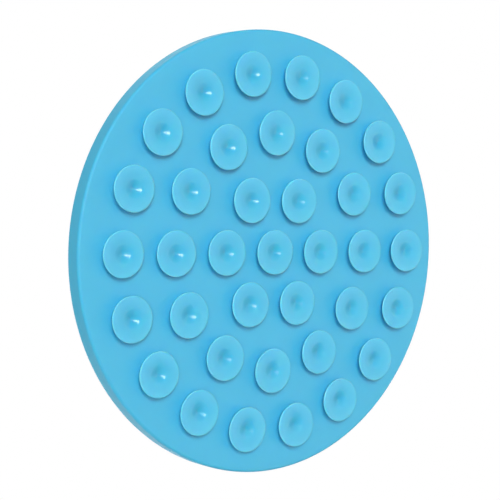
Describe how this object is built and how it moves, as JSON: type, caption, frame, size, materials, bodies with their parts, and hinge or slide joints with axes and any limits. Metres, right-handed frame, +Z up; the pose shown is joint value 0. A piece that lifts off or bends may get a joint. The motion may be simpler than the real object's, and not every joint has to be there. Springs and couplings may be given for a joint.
{
  "type": "lick mat",
  "caption": "Round silicone lick mat with a raised rim and textured lick side on top, and a field of suction cups underneath that give when pressed.",
  "frame": {"origin": "centre of the mat in the plane of the suction cups' lips, which is the surface it rests on", "axes": "+Z up from the suction cups to the lick side; +X through the first cup of each ring, to the right in the picture; +Y to the bottom of the picture"},
  "size_m": [0.15, 0.15, 0.01],
  "materials": {
    "mat_silicone": "satin",
    "cup_silicone": "satin"
  },
  "bodies": {
    "mat": {"mat_base": "mat_silicone", "outer_rim": "mat_silicone", "lick_hub": "mat_silicone", "lick_nubs": "mat_silicone", "lick_dashes": "mat_silicone", "lick_domes": "mat_silicone", "lick_bars": "mat_silicone", "lick_divider_1": "mat_silicone", "lick_divider_2": "mat_silicone", "lick_divider_3": "mat_silicone", "lick_divider_4": "mat_silicone", "cup_neck_centre": "cup_silicone", "cup_necks_inner": "cup_silicone", "cup_necks_middle": "cup_silicone", "cup_necks_outer": "cup_silicone"},
    "cup_centre": {"cup_centre": "cup_silicone"},
    "cup_inner_1": {"cup_inner_1": "cup_silicone"},
    "cup_inner_2": {"cup_inner_2": "cup_silicone"},
    "cup_inner_3": {"cup_inner_3": "cup_silicone"},
    "cup_inner_4": {"cup_inner_4": "cup_silicone"},
    "cup_inner_5": {"cup_inner_5": "cup_silicone"},
    "cup_inner_6": {"cup_inner_6": "cup_silicone"},
    "cup_middle_1": {"cup_middle_1": "cup_silicone"},
    "cup_middle_2": {"cup_middle_2": "cup_silicone"},
    "cup_middle_3": {"cup_middle_3": "cup_silicone"},
    "cup_middle_4": {"cup_middle_4": "cup_silicone"},
    "cup_middle_5": {"cup_middle_5": "cup_silicone"},
    "cup_middle_6": {"cup_middle_6": "cup_silicone"},
    "cup_middle_7": {"cup_middle_7": "cup_silicone"},
    "cup_middle_8": {"cup_middle_8": "cup_silicone"},
    "cup_middle_9": {"cup_middle_9": "cup_silicone"},
    "cup_middle_10": {"cup_middle_10": "cup_silicone"},
    "cup_middle_11": {"cup_middle_11": "cup_silicone"},
    "cup_middle_12": {"cup_middle_12": "cup_silicone"},
    "cup_outer_1": {"cup_outer_1": "cup_silicone"},
    "cup_outer_2": {"cup_outer_2": "cup_silicone"},
    "cup_outer_3": {"cup_outer_3": "cup_silicone"},
    "cup_outer_4": {"cup_outer_4": "cup_silicone"},
    "cup_outer_5": {"cup_outer_5": "cup_silicone"},
    "cup_outer_6": {"cup_outer_6": "cup_silicone"},
    "cup_outer_7": {"cup_outer_7": "cup_silicone"},
    "cup_outer_8": {"cup_outer_8": "cup_silicone"},
    "cup_outer_9": {"cup_outer_9": "cup_silicone"},
    "cup_outer_10": {"cup_outer_10": "cup_silicone"},
    "cup_outer_11": {"cup_outer_11": "cup_silicone"},
    "cup_outer_12": {"cup_outer_12": "cup_silicone"},
    "cup_outer_13": {"cup_outer_13": "cup_silicone"},
    "cup_outer_14": {"cup_outer_14": "cup_silicone"},
    "cup_outer_15": {"cup_outer_15": "cup_silicone"},
    "cup_outer_16": {"cup_outer_16": "cup_silicone"},
    "cup_outer_17": {"cup_outer_17": "cup_silicone"},
    "cup_outer_18": {"cup_outer_18": "cup_silicone"}
  },
  "joints": [
    {"name": "press_cup_centre", "type": "slide", "parent": "mat", "child": "cup_centre", "axis": [0, 0, 1], "range_m": [0, 0.001], "stiffness_N_per_m": 1500, "deforming": ["cup_neck_centre"]},
    {"name": "press_cup_inner_1", "type": "slide", "parent": "mat", "child": "cup_inner_1", "axis": [0, 0, 1], "range_m": [0, 0.001], "stiffness_N_per_m": 1500, "deforming": ["cup_necks_inner"]},
    {"name": "press_cup_inner_2", "type": "slide", "parent": "mat", "child": "cup_inner_2", "axis": [0, 0, 1], "range_m": [0, 0.001], "stiffness_N_per_m": 1500, "deforming": ["cup_necks_inner"]},
    {"name": "press_cup_inner_3", "type": "slide", "parent": "mat", "child": "cup_inner_3", "axis": [0, 0, 1], "range_m": [0, 0.001], "stiffness_N_per_m": 1500, "deforming": ["cup_necks_inner"]},
    {"name": "press_cup_inner_4", "type": "slide", "parent": "mat", "child": "cup_inner_4", "axis": [0, 0, 1], "range_m": [0, 0.001], "stiffness_N_per_m": 1500, "deforming": ["cup_necks_inner"]},
    {"name": "press_cup_inner_5", "type": "slide", "parent": "mat", "child": "cup_inner_5", "axis": [0, 0, 1], "range_m": [0, 0.001], "stiffness_N_per_m": 1500, "deforming": ["cup_necks_inner"]},
    {"name": "press_cup_inner_6", "type": "slide", "parent": "mat", "child": "cup_inner_6", "axis": [0, 0, 1], "range_m": [0, 0.001], "stiffness_N_per_m": 1500, "deforming": ["cup_necks_inner"]},
    {"name": "press_cup_middle_1", "type": "slide", "parent": "mat", "child": "cup_middle_1", "axis": [0, 0, 1], "range_m": [0, 0.001], "stiffness_N_per_m": 1500, "deforming": ["cup_necks_middle"]},
    {"name": "press_cup_middle_2", "type": "slide", "parent": "mat", "child": "cup_middle_2", "axis": [0, 0, 1], "range_m": [0, 0.001], "stiffness_N_per_m": 1500, "deforming": ["cup_necks_middle"]},
    {"name": "press_cup_middle_3", "type": "slide", "parent": "mat", "child": "cup_middle_3", "axis": [0, 0, 1], "range_m": [0, 0.001], "stiffness_N_per_m": 1500, "deforming": ["cup_necks_middle"]},
    {"name": "press_cup_middle_4", "type": "slide", "parent": "mat", "child": "cup_middle_4", "axis": [0, 0, 1], "range_m": [0, 0.001], "stiffness_N_per_m": 1500, "deforming": ["cup_necks_middle"]},
    {"name": "press_cup_middle_5", "type": "slide", "parent": "mat", "child": "cup_middle_5", "axis": [0, 0, 1], "range_m": [0, 0.001], "stiffness_N_per_m": 1500, "deforming": ["cup_necks_middle"]},
    {"name": "press_cup_middle_6", "type": "slide", "parent": "mat", "child": "cup_middle_6", "axis": [0, 0, 1], "range_m": [0, 0.001], "stiffness_N_per_m": 1500, "deforming": ["cup_necks_middle"]},
    {"name": "press_cup_middle_7", "type": "slide", "parent": "mat", "child": "cup_middle_7", "axis": [0, 0, 1], "range_m": [0, 0.001], "stiffness_N_per_m": 1500, "deforming": ["cup_necks_middle"]},
    {"name": "press_cup_middle_8", "type": "slide", "parent": "mat", "child": "cup_middle_8", "axis": [0, 0, 1], "range_m": [0, 0.001], "stiffness_N_per_m": 1500, "deforming": ["cup_necks_middle"]},
    {"name": "press_cup_middle_9", "type": "slide", "parent": "mat", "child": "cup_middle_9", "axis": [0, 0, 1], "range_m": [0, 0.001], "stiffness_N_per_m": 1500, "deforming": ["cup_necks_middle"]},
    {"name": "press_cup_middle_10", "type": "slide", "parent": "mat", "child": "cup_middle_10", "axis": [0, 0, 1], "range_m": [0, 0.001], "stiffness_N_per_m": 1500, "deforming": ["cup_necks_middle"]},
    {"name": "press_cup_middle_11", "type": "slide", "parent": "mat", "child": "cup_middle_11", "axis": [0, 0, 1], "range_m": [0, 0.001], "stiffness_N_per_m": 1500, "deforming": ["cup_necks_middle"]},
    {"name": "press_cup_middle_12", "type": "slide", "parent": "mat", "child": "cup_middle_12", "axis": [0, 0, 1], "range_m": [0, 0.001], "stiffness_N_per_m": 1500, "deforming": ["cup_necks_middle"]},
    {"name": "press_cup_outer_1", "type": "slide", "parent": "mat", "child": "cup_outer_1", "axis": [0, 0, 1], "range_m": [0, 0.001], "stiffness_N_per_m": 1500, "deforming": ["cup_necks_outer"]},
    {"name": "press_cup_outer_2", "type": "slide", "parent": "mat", "child": "cup_outer_2", "axis": [0, 0, 1], "range_m": [0, 0.001], "stiffness_N_per_m": 1500, "deforming": ["cup_necks_outer"]},
    {"name": "press_cup_outer_3", "type": "slide", "parent": "mat", "child": "cup_outer_3", "axis": [0, 0, 1], "range_m": [0, 0.001], "stiffness_N_per_m": 1500, "deforming": ["cup_necks_outer"]},
    {"name": "press_cup_outer_4", "type": "slide", "parent": "mat", "child": "cup_outer_4", "axis": [0, 0, 1], "range_m": [0, 0.001], "stiffness_N_per_m": 1500, "deforming": ["cup_necks_outer"]},
    {"name": "press_cup_outer_5", "type": "slide", "parent": "mat", "child": "cup_outer_5", "axis": [0, 0, 1], "range_m": [0, 0.001], "stiffness_N_per_m": 1500, "deforming": ["cup_necks_outer"]},
    {"name": "press_cup_outer_6", "type": "slide", "parent": "mat", "child": "cup_outer_6", "axis": [0, 0, 1], "range_m": [0, 0.001], "stiffness_N_per_m": 1500, "deforming": ["cup_necks_outer"]},
    {"name": "press_cup_outer_7", "type": "slide", "parent": "mat", "child": "cup_outer_7", "axis": [0, 0, 1], "range_m": [0, 0.001], "stiffness_N_per_m": 1500, "deforming": ["cup_necks_outer"]},
    {"name": "press_cup_outer_8", "type": "slide", "parent": "mat", "child": "cup_outer_8", "axis": [0, 0, 1], "range_m": [0, 0.001], "stiffness_N_per_m": 1500, "deforming": ["cup_necks_outer"]},
    {"name": "press_cup_outer_9", "type": "slide", "parent": "mat", "child": "cup_outer_9", "axis": [0, 0, 1], "range_m": [0, 0.001], "stiffness_N_per_m": 1500, "deforming": ["cup_necks_outer"]},
    {"name": "press_cup_outer_10", "type": "slide", "parent": "mat", "child": "cup_outer_10", "axis": [0, 0, 1], "range_m": [0, 0.001], "stiffness_N_per_m": 1500, "deforming": ["cup_necks_outer"]},
    {"name": "press_cup_outer_11", "type": "slide", "parent": "mat", "child": "cup_outer_11", "axis": [0, 0, 1], "range_m": [0, 0.001], "stiffness_N_per_m": 1500, "deforming": ["cup_necks_outer"]},
    {"name": "press_cup_outer_12", "type": "slide", "parent": "mat", "child": "cup_outer_12", "axis": [0, 0, 1], "range_m": [0, 0.001], "stiffness_N_per_m": 1500, "deforming": ["cup_necks_outer"]},
    {"name": "press_cup_outer_13", "type": "slide", "parent": "mat", "child": "cup_outer_13", "axis": [0, 0, 1], "range_m": [0, 0.001], "stiffness_N_per_m": 1500, "deforming": ["cup_necks_outer"]},
    {"name": "press_cup_outer_14", "type": "slide", "parent": "mat", "child": "cup_outer_14", "axis": [0, 0, 1], "range_m": [0, 0.001], "stiffness_N_per_m": 1500, "deforming": ["cup_necks_outer"]},
    {"name": "press_cup_outer_15", "type": "slide", "parent": "mat", "child": "cup_outer_15", "axis": [0, 0, 1], "range_m": [0, 0.001], "stiffness_N_per_m": 1500, "deforming": ["cup_necks_outer"]},
    {"name": "press_cup_outer_16", "type": "slide", "parent": "mat", "child": "cup_outer_16", "axis": [0, 0, 1], "range_m": [0, 0.001], "stiffness_N_per_m": 1500, "deforming": ["cup_necks_outer"]},
    {"name": "press_cup_outer_17", "type": "slide", "parent": "mat", "child": "cup_outer_17", "axis": [0, 0, 1], "range_m": [0, 0.001], "stiffness_N_per_m": 1500, "deforming": ["cup_necks_outer"]},
    {"name": "press_cup_outer_18", "type": "slide", "parent": "mat", "child": "cup_outer_18", "axis": [0, 0, 1], "range_m": [0, 0.001], "stiffness_N_per_m": 1500, "deforming": ["cup_necks_outer"]}
  ]
}
